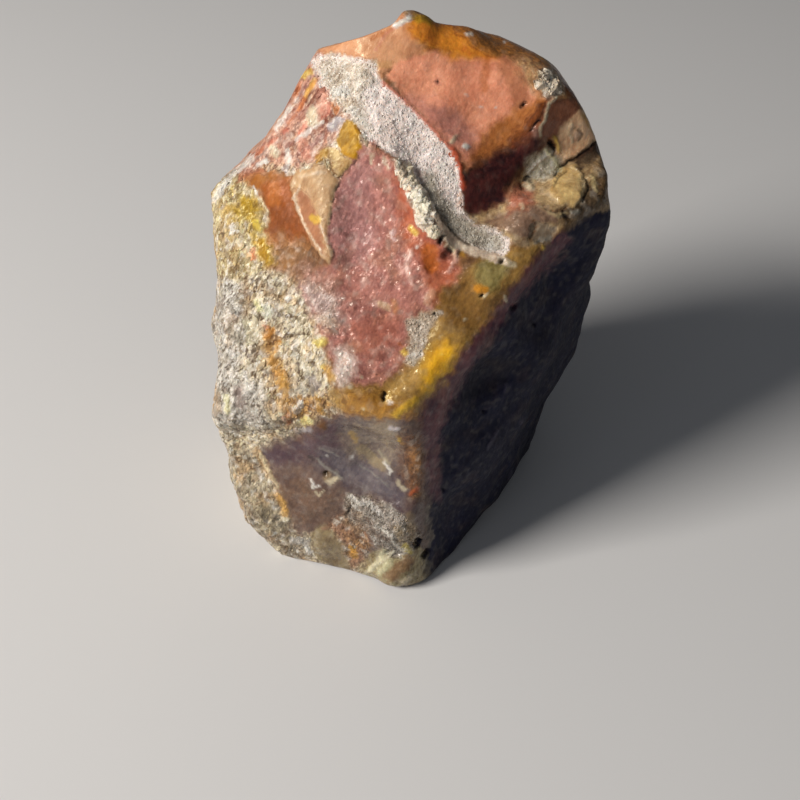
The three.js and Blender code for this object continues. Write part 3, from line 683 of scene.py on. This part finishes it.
def drift(points, size, seed):
    """How far each point's pixel strays, across and down, to make the edges of regions uneven."""
    return np.stack((noise(points, size, seed), noise(points, size, seed + 1)), axis=1)


def laid(rows, look, share):
    """The rows with a look laid over them, as much of it as share says."""
    share = share[:, None]
    return rows * (1 - share) + ROWS[look] * share


def hidden_weights(points, directions):
    """The looks of the sides that the show view doesn't see, each with how much of it shows."""
    x, y, z = points.T
    broad = layered(points, 15, 21)
    # a dim grey that grows towards the right side: partly painted shade leading into it
    yield "dusk", ease(layered(points, 17, 31) + x / 22, -0.35, 0.25)
    yield "lower", ease(broad + x / 60, 0.08, 0.4)
    yield "hidden red", ease(layered(points, 13, 41), 0.08, 0.42) * ease(y, -4, 4)
    yield "olive", 0.55 * ease(layered(points, 9, 51), 0.3, 0.8)
    # the sides that face right, away from the key light, take the near-black look: painted shade
    right = ease(directions[:, 0] + 0.3 * broad, 0.1, 0.6)
    yield "shade", np.maximum(ease(x + 5 * broad, 11, 21), right)
    # the upper right side darker: partly painted shade
    yield "dark edge", ease(x, 12, 16) * ease(z + 4 * broad, 36, 44)
    top = ease(z + 9 * broad - 0.25 * x, 43, 55)
    yield "corner", top
    yield "dark amber", top * ease(x, -2, 8)
    yield "peach", top * ease(-x, -8, -2)
    yield "mauve salmon", 0.8 * top * ease(layered(points, 11, 61), 0, 0.4)
    side = (1 - top) * ease(-x + 3 * broad, 14, 20)
    yield "crust", side
    yield "brown crust", side * ease(layered(points, 10, 71), 0.05, 0.5)
    yield "grey crust", side * ease(layered(points, 12, 73), 0.05, 0.4)


def stone_looks(points, directions):
    """The row of values at each point, and the height that the marks add (mm)."""
    front = facing(points, directions)
    seen, hidden = ease(front, *SEEN), 1 - ease(front, *HIDDEN)
    pixels = to_pixels(points)
    coarse, middle, small = drift(points, 2.4, 11), drift(points, 0.9, 13), drift(points, 0.45, 15)
    rows = np.tile(ROWS["crust"], (len(points), 1))
    for look, weight in hidden_weights(points, directions):
        rows = laid(rows, look, hidden * weight)
    for look, soft, outline in REGIONS:
        reach = 0.9 + 0.35 * soft  # how far the region's edge strays, in pixels
        moved = pixels + reach * (coarse + middle) + min(reach, 2.2) * small
        rows = laid(rows, look, seen * ease(outline_distance(moved, outline), -soft, soft))
    stain(rows, points)
    height = mark(rows, pixels, middle + small, seen)
    return rows, height


def stain(rows, points):
    """Colours the crust of the rows in patches."""
    crusty = np.interp(rows[:, CRUST], *STAINED)
    for look, size, strength, seed in STAINS:
        share = strength * crusty[:, None] * ease(noise(points, size, seed), 0.1, 0.5)[:, None]
        rows[:, BOTH] += share * (ROWS[look][BOTH] - rows[:, BOTH])


def mark(rows, pixels, stray, seen):
    """Lays the marks over the rows, and returns the height that they add (mm)."""
    height = np.zeros(len(rows))
    for colour, width, strength, rise, stroke in MARKS:
        reach = min(0.5 + 0.14 * width, 2.5)
        inner = width / 2 - stroke_distance(pixels + reach * stray, stroke)
        share = seen * strength * ease(inner, -0.6 - 0.1 * width, 0.4 + 0.2 * width)
        light = linear(colour)
        near_black = channels(colour).sum() <= 200
        dark = light * (0.8 if near_black else 0.62)
        rows[:, LIGHT] += share[:, None] * (light - rows[:, LIGHT])
        rows[:, DARK] += share[:, None] * (dark - rows[:, DARK])
        if rise:
            height += rise * seen * ease(inner, -0.5, 0.35 * width)
    return height


def relief(points, rows, height):
    """How far out each point of the skin moves, in mm."""
    crust, sugar = rows[:, CRUST], rows[:, SUGAR]
    rough = layered(points, (1.7, 1.7, 2.8), 61)
    lumps = pebbles(points + 0.35 * rough[:, None], (1.5, 1.5, 2.3), 62)
    chips = pebbles(points + 0.1 * rough[:, None], (0.7, 0.7, 0.9), 63)
    out = 0.07 * noise(points, 4.5, 64) + 0.05 * layered(points, 1.8, 65, 2)
    out += 0.03 * np.abs(noise(points, (0.8, 0.8, 1.6), 66))
    out += crust * (0.2 * rough + 0.2 * (lumps - 0.5) + 0.14 * (chips - 0.5))
    out += sugar * (0.12 * (pebbles(points, 0.55, 67) - 0.5) + 0.06 * noise(points, 1.3, 68))
    return out + rows[:, HEIGHT] + height


# ---------------------------------------------------------------- the skin

VOXEL = 0.27  # mm
SKIN_TRIANGLES = 197000
SMOOTHING = 9  # rounds
FOOT = 0.05  # mm above the floor: what is lower is the flat foot
FADE = 0.1, 1.2  # mm above the floor: the relief starts, and is whole
KEPT = 0.02, 0.2  # how squarely the skin faces the show view where more triangles stay, and where most do


def remeshed(source, voxel):
    """A copy of a mesh as one even skin of small quads."""
    work = bmesh.new()
    work.from_mesh(source)
    bmesh.ops.remove_doubles(work, verts=work.verts, dist=1e-7)
    mesh = bpy.data.meshes.new("remesh")
    work.to_mesh(mesh)
    work.free()
    holder = bpy.data.objects.new("remesh", mesh)
    modifier = holder.modifiers.new("voxels", "REMESH")
    modifier.mode = "VOXEL"
    modifier.voxel_size = voxel * MM
    return applied(holder)


def applied(holder):
    """The mesh that an object's modifiers make. The object goes."""
    bpy.context.scene.collection.objects.link(holder)
    bpy.context.view_layer.update()
    finished = holder.evaluated_get(bpy.context.evaluated_depsgraph_get())
    mesh = bpy.data.meshes.new_from_object(finished)
    bpy.data.objects.remove(holder)
    return mesh


def thinned(mesh, keep, triangles):
    """The mesh with fewer triangles, most of them left where keep is high."""
    holder = bpy.data.objects.new("thinned", mesh)
    group = holder.vertex_groups.new(name="thin")
    steps = 8
    levels = np.round(keep * steps).astype(int)
    for level in range(steps + 1):
        group.add(np.nonzero(levels == level)[0].tolist(), 1 - level / steps, "REPLACE")
    modifier = holder.modifiers.new("collapse", "DECIMATE")
    modifier.ratio = triangles / sum(len(polygon.vertices) - 2 for polygon in mesh.polygons)
    modifier.vertex_group = "thin"
    modifier.vertex_group_factor = 1.0
    modifier.use_collapse_triangulate = True
    return applied(holder)


def column(items, name, width, kind=np.float32):
    """One property of each of a mesh's parts, as a table of numbers."""
    flat = np.empty(len(items) * width, kind)
    items.foreach_get(name, flat)
    return flat.reshape(-1, width)


def places(mesh):
    """The mesh's points in mm."""
    return column(mesh.vertices, "co", 3).astype(float) / MM


def normals(mesh):
    """The way that the surface faces at each of the mesh's points."""
    return column(mesh.vertex_normals, "vector", 3).astype(float)


def move_to(mesh, points):
    """Puts the mesh's points at these places, in mm."""
    mesh.vertices.foreach_set("co", (points * MM).astype(np.float32).ravel())
    mesh.update()


def smoothed(points, edges, rounds):
    """The points after each moves halfway to its neighbours' middle, so many times."""
    ends = np.concatenate((edges[:, 0], edges[:, 1]))
    others = np.concatenate((edges[:, 1], edges[:, 0]))
    amount = np.bincount(ends, minlength=len(points))
    for _ in range(rounds):
        sums = [np.bincount(ends, weights=axis[others], minlength=len(points)) for axis in points.T]
        points = 0.5 * points + 0.5 * (np.stack(sums, axis=1) / amount[:, None])
    return points


# Where the stone stands a little further out or in: middle and width (pixels), and how far (mm).
NUDGES = [
    ((470, 26), 34, (0, 0, 0.6)),
    ((616, 188), 26, (-0.7, 0, 0)),
    ((216, 420), 26, (-0.5, 0, 0)),
    ((258, 528), 26, (-1.0, -0.5, 0)),
    ((380, 582), 34, (0, -0.8, 0)),
]
SKYLINE = [(290, 0), (300, 66), (318, 49), (366, 36), (397, 23), (403, 0)]  # the top left edge in the view


def shaped(points):
    """The points after the nudges, and with nothing left above the skyline."""
    pixels = to_pixels(points)
    for middle, width, way in NUDGES:
        near = np.exp(-((pixels - middle) ** 2).sum(axis=1) / width**2)
        points = points + near[:, None] * np.array(way)
    pixels = to_pixels(points)
    edge, top = zip(*SKYLINE)
    above = np.maximum(np.interp(pixels[:, 0], edge, top, 0, 0) - pixels[:, 1], 0)
    depth = (points - EYE) @ AHEAD
    return points - (above * depth / FOCAL)[:, None] * UPWARD


def stone_skin():
    """The whole stone as one mesh with its relief and looks."""
    mesh = remeshed(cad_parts["stone"].data, VOXEL)
    points = places(mesh)
    foot = points[:, 2] < FOOT
    points = smoothed(shaped(points), column(mesh.edges, "vertices", 2, np.int32), SMOOTHING)
    move_to(mesh, points)
    directions = normals(mesh)
    rows, height = stone_looks(points, directions)
    out = relief(points, rows, height) * ease(points[:, 2], *FADE)
    points = points + out[:, None] * directions
    points[:, 2] = np.maximum(points[:, 2], 0)
    points[foot, 2] = 0
    move_to(mesh, points)
    mesh = thinned(mesh, ease(facing(points, normals(mesh)), *KEPT), SKIN_TRIANGLES)
    mesh.name = "stone_skin"
    rows, _ = stone_looks(places(mesh), normals(mesh))
    store(mesh, rows)
    return mesh


STORED = "light", "dark", "finish", "sugar"


def store(mesh, rows):
    """Keeps each point's colours and finish on the mesh, for the material."""
    finish = rows[:, (BLOTCH, ROUGHNESS, CRUST)]
    sugar = np.repeat(rows[:, SUGAR, None], 3, axis=1)
    for name, part in zip(STORED, (rows[:, LIGHT], rows[:, DARK], finish, sugar)):
        attribute = mesh.attributes.new(name, "FLOAT_VECTOR", "POINT")
        attribute.data.foreach_set("vector", part.astype(np.float32).ravel())


# ---------------------------------------------------------------- grains


def scattered(skin, kind, least, count, random):
    """Random spots on the skin, where the value that kind names is over the least: their places, the way
    that the skin faces there, and its rows."""
    points, directions = places(skin), normals(skin)
    corners = column(skin.polygons, "vertices", 3, np.int32)
    rows = np.concatenate([stored(skin, part) for part in STORED], axis=1)
    a, b, c = (points[corners[:, i]] for i in range(3))
    area = np.linalg.norm(np.cross(b - a, c - a), axis=1)
    amount = rows[corners].mean(axis=1)[:, kind]
    chance = area * ease(amount, least, least + 0.4) * ease(a[:, 2], 0.6, 1.6)
    chosen = corners[random.choice(len(corners), count, p=chance / chance.sum())]
    share = random.dirichlet((1, 1, 1), count)[:, :, None]
    centre = (points[chosen] * share).sum(axis=1)
    outward = unit((directions[chosen] * share).sum(axis=1))
    return centre, outward, rows[chosen[:, 0]]


def grains(name, skin, kind, least, count, size, shape, seed):
    """Small broken grains sunk in the skin, where the value that kind names is over the least. size is
    their width (mm), and shape how wide each is along the stone's length, across it and outwards."""
    random = np.random.default_rng(seed)
    centre, outward, rows = scattered(skin, kind, least, count, random)
    along = unit(np.array((0.25, 0.1, 1.0)) + random.normal(0, 0.45, (count, 3)))
    across = unit(np.cross(outward, along))
    out = unit(outward + random.normal(0, 0.22, (count, 3)))
    axes = np.stack((np.cross(across, outward), across, out), axis=2)
    width = size * random.lognormal(0, 0.3, count)
    ball, faces = icosahedron()
    jagged = ball[None] * random.uniform(0.75, 1.15, (count, len(ball), 1))
    jagged = jagged * random.uniform(0.8, 1.25, (count, 1, 3))
    jagged = jagged * np.array(shape) * (0.5 * width)[:, None, None]
    sunk = centre - 0.3 * shape[2] * width[:, None] * outward
    placed = np.einsum("nij,nkj->nki", axes, jagged) + sunk[:, None]
    placed[:, :, 2] = np.maximum(placed[:, :, 2], 0)  # nothing below the floor
    mesh = bpy.data.meshes.new(name)
    table = (faces[None] + len(ball) * np.arange(count)[:, None, None]).reshape(-1, 3)
    mesh.from_pydata((placed.reshape(-1, 3) * MM).tolist(), [], table.tolist())
    tone = rows[:, DARK] + random.uniform(0.3, 1.05, (count, 1)) * (rows[:, LIGHT] - rows[:, DARK])
    rows[:, LIGHT] = tone * random.uniform(0.95, 1.15, (count, 1))
    rows[:, DARK] = tone * 0.75
    store(mesh, np.repeat(rows, len(ball), axis=0))
    return mesh


def unit(vectors):
    """The vectors made 1 long."""
    return vectors / np.linalg.norm(vectors, axis=1)[:, None]


def stored(mesh, name):
    """What store() kept under a name."""
    return column(mesh.attributes[name].data, "vector", 3).astype(float)


def icosahedron():
    """The points and faces of a ball of 20 triangles, 1 in radius."""
    work = bmesh.new()
    bmesh.ops.create_icosphere(work, subdivisions=1, radius=1)
    points = np.array([vertex.co[:] for vertex in work.verts])
    faces = np.array([[vertex.index for vertex in face.verts] for face in work.faces])
    work.free()
    return points, faces


# ---------------------------------------------------------------- materials


class Nodes:
    """Short names for building a material's nodes."""

    def __init__(self, name):
        self.material = bpy.data.materials.new(name)
        self.material.use_nodes = True
        self.tree = self.material.node_tree
        self.shader = self.tree.nodes["Principled BSDF"]

    def add(self, kind, inputs=(), **settings):
        node = self.tree.nodes.new(kind)
        for key, value in settings.items():
            setattr(node, key, value)
        for key, value in dict(inputs).items():
            self.fill(node.inputs[key], value)
        return node

    def fill(self, socket, value):
        if isinstance(value, bpy.types.NodeSocket):
            self.tree.links.new(value, socket)
        else:
            socket.default_value = value

    def attribute(self, name):
        return self.add("ShaderNodeAttribute", attribute_name=name).outputs["Vector"]

    def math(self, operation, a, b=0.0, clamp=False):
        return self.add("ShaderNodeMath", {0: a, 1: b}, operation=operation, use_clamp=clamp).outputs[0]

    def vector(self, operation, a, b=(0.0, 0.0, 0.0)):
        key = 3 if operation == "SCALE" else 1
        return self.add("ShaderNodeVectorMath", {0: a, key: b}, operation=operation).outputs[0]

    def ramp(self, value, low, high, to_low=0.0, to_high=1.0):
        inputs = {"Value": value, "From Min": low, "From Max": high, "To Min": to_low, "To Max": to_high}
        return self.add("ShaderNodeMapRange", inputs).outputs[0]

    def mix(self, share, first, second):
        """The first colour where share is 0, and the second where it is 1."""
        return self.add("ShaderNodeMix", {0: share, 6: first, 7: second}, data_type="RGBA").outputs[2]

    def parts(self, vector):
        return self.add("ShaderNodeSeparateXYZ", {0: vector}).outputs

    def leaning(self, cells, amount):
        """A random tilt for each cell."""
        return self.vector("SCALE", self.vector("SUBTRACT", cells, (0.5, 0.5, 0.5)), amount)

    def noise(self, vector, scale, detail=3.0, roughness=0.6):
        inputs = {"Vector": vector, "Scale": scale, "Detail": detail, "Roughness": roughness}
        return self.add("ShaderNodeTexNoise", inputs).outputs[0]

    def cells(self, vector, scale):
        """A random colour in each small cell."""
        inputs = {"Vector": vector, "Scale": scale}
        return self.add("ShaderNodeTexVoronoi", inputs).outputs["Color"]

    def set(self, **values):
        for key, value in values.items():
            self.fill(self.shader.inputs[key.replace("_", " ")], value)


def stone_material():
    """One material for the skin and the grains. It reads the looks that store() kept on the mesh."""
    n = Nodes("jasper")
    light, dark = n.attribute("light"), n.attribute("dark")
    place = n.add("ShaderNodeTexCoord").outputs["Object"]
    turned = n.add("ShaderNodeVectorRotate", {0: place, "Angle": -0.4}, rotation_type="Y_AXIS").outputs[0]
    blotch, rough, crust = n.parts(n.attribute("finish"))
    grain = n.math("MAXIMUM", crust, n.parts(n.attribute("sugar"))[0])
    long = n.vector("MULTIPLY", turned, (1.0, 1.0, 0.55))
    broad = n.noise(n.vector("SCALE", long, n.math("DIVIDE", 1000.0, blotch)), 1.0, 5.0, 0.64)
    fine = n.noise(long, 2600.0, 3.0, 0.65)
    cell = n.cells(long, 2900.0)
    streaks = n.noise(n.vector("MULTIPLY", turned, (1.0, 1.0, 0.3)), 2300.0, 4.0, 0.62)
    plates = n.cells(n.vector("MULTIPLY", turned, (1.0, 1.0, 0.45)), 1500.0)
    spark = n.cells(n.vector("MULTIPLY", turned, (1.0, 1.0, 0.55)), 4600.0)

    # light and dark in blotches, streaks and grains
    body = n.ramp(broad, 0.34, 0.66)
    streaked = n.math("MULTIPLY", n.ramp(streaks, 0.34, 0.66, -0.6, 0.6), n.math("MAXIMUM", crust, 0.4))
    body = n.math("ADD", body, streaked)
    body = n.math("ADD", body, n.ramp(fine, 0.3, 0.7, -0.2, 0.2))
    grained = n.math("MULTIPLY", n.ramp(n.parts(cell)[0], 0.0, 1.0, -0.65, 0.65), grain)
    body = n.math("ADD", body, grained, True)
    colour = n.mix(body, dark, light)
    # flecks of clear quartz
    fleck = n.math("MULTIPLY", n.ramp(n.parts(spark)[2], 0.76, 0.86), n.ramp(crust, 0.1, 0.4, 0.0, 0.45))
    glint = n.ramp(n.parts(spark)[0], 0.06, 0.09, 1.0, 0.0)
    pale = n.vector("MINIMUM", n.vector("SCALE", light, 1.7), (0.9, 0.86, 0.8))
    colour = n.mix(fleck, colour, pale)
    shine = n.math("ADD", rough, n.ramp(fine, 0.3, 0.7, 0.1, -0.1))
    shine = n.math("SUBTRACT", shine, n.math("MULTIPLY", glint, n.ramp(crust, 0.0, 0.4, 0.05, 0.15)))

    # grains that each face their own way
    facets = n.leaning(cell, n.ramp(grain, 0.0, 1.0, 0.1, 0.6))
    facets = n.vector("ADD", facets, n.leaning(plates, n.math("MULTIPLY", crust, 0.7)))
    sparkling = n.math("MULTIPLY", glint, n.ramp(crust, 0.05, 0.45, 0.15, 1.0))
    facets = n.vector("ADD", facets, n.leaning(spark, sparkling))
    flat = n.add("ShaderNodeNewGeometry").outputs["Normal"]
    tilted = n.vector("NORMALIZE", n.vector("ADD", flat, facets))
    height = n.math("ADD", fine, n.math("MULTIPLY", n.noise(long, 900.0, 3.0, 0.6), 1.5))
    height = n.math("MULTIPLY", height, n.ramp(grain, 0.0, 0.5, 0.4, 1.0))
    inputs = {"Height": height, "Strength": 0.5, "Distance": 0.16 * MM, "Normal": tilted}
    bump = n.add("ShaderNodeBump", inputs).outputs[0]
    # the gloss takes some of the stone's colour; where the colour is darkest it is cut low and tinted blue,
    # a painted blue reflection that keeps the painted shade dark
    bright = n.add("ShaderNodeRGBToBW", {0: light}).outputs[0]
    warm = n.mix(0.6, (1, 1, 1, 1), n.vector("MINIMUM", n.vector("SCALE", light, 3.0), (1.0, 1.0, 1.0)))
    gloss = n.mix(n.ramp(bright, 0.012, 0.06), (0.07, 0.09, 0.3, 1), warm)
    n.set(Base_Color=colour, Roughness=shine, Normal=bump, Specular_Tint=gloss)
    n.set(IOR=1.54, Subsurface_Weight=0.1, Subsurface_Radius=(1.0, 0.5, 0.25), Subsurface_Scale=0.8 * MM)
    return n.material


def piece(mesh, material, smooth, replaces=()):
    """Puts a mesh in the scene as a piece of the stone."""
    holder = bpy.data.objects.new(mesh.name, mesh)
    bpy.context.scene.collection.objects.link(holder)
    mesh.materials.clear()
    mesh.materials.append(material)
    mesh.polygons.foreach_set("use_smooth", [smooth] * len(mesh.polygons))
    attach(holder, "root")
    if replaces:
        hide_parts(*replaces)


material = stone_material()
skin = stone_skin()
piece(skin, material, True, ["stone"])
piece(grains("crust_grains", skin, CRUST, 0.25, 7000, 0.56, (1.6, 0.75, 0.4), 71), material, False)
piece(grains("sugar_grains", skin, SUGAR, 0.3, 6000, 0.3, (1, 1, 0.9), 72), material, False)
piece(grains("bead_grains", skin, CRUST, 0.9, 170, 0.95, (1, 1, 0.9), 73), material, False)

# ---------------------------------------------------------------- floor, light and camera


def floor():
    """A plain pale floor, 6 m square."""
    half = 3.0
    mesh = bpy.data.meshes.new("floor")
    square = [(-half, -half, 0), (half, -half, 0), (half, half, 0), (-half, half, 0)]
    mesh.from_pydata(square, [], [(0, 1, 2, 3)])
    n = Nodes("floor")
    n.set(Base_Color=(0.72, 0.72, 0.73, 1), Roughness=0.9)
    mesh.materials.append(n.material)
    sheet = bpy.data.objects.new("floor", mesh)
    bpy.context.scene.collection.objects.link(sheet)


MIDDLE = Vector((0, 0, 0.03))  # m, about the middle of the stone


def soft_light(name, towards, away, size, watts, colour):
    """A square light that shines at the stone from the way given by towards."""
    lamp = bpy.data.lights.new(name, "AREA")
    lamp.size = size
    lamp.energy = watts
    lamp.color = colour
    holder = bpy.data.objects.new(name, lamp)
    bpy.context.scene.collection.objects.link(holder)
    way = Vector(towards).normalized()
    holder.location = MIDDLE + way * away
    holder.rotation_euler = way.to_track_quat("Z", "Y").to_euler()


def camera():
    """The show view's camera."""
    lens = bpy.data.cameras.new("camera")
    lens.sensor_width = 36
    lens.lens = 36 * FOCAL / IMAGE
    lens.clip_start = 0.005
    holder = bpy.data.objects.new("camera", lens)
    bpy.context.scene.collection.objects.link(holder)
    holder.location = Vector(EYE * MM)
    holder.rotation_euler = Vector(AHEAD).to_track_quat("-Z", "Y").to_euler()
    bpy.context.scene.camera = holder


floor()
soft_light("key", (-0.8, -0.38, 0.6), 0.6, 0.2, 4.2, (1.0, 0.95, 0.88))
soft_light("fill", (-0.3, -0.8, 0.8), 0.7, 0.6, 0.25, (0.92, 0.95, 1.0))
camera()
world = bpy.data.worlds.new("studio")
world.use_nodes = True
background = world.node_tree.nodes["Background"].inputs
background["Color"].default_value = (0.9, 0.94, 1.0, 1)
background["Strength"].default_value = 0.07
bpy.context.scene.world = world
bpy.context.scene.view_settings.view_transform = "Standard"
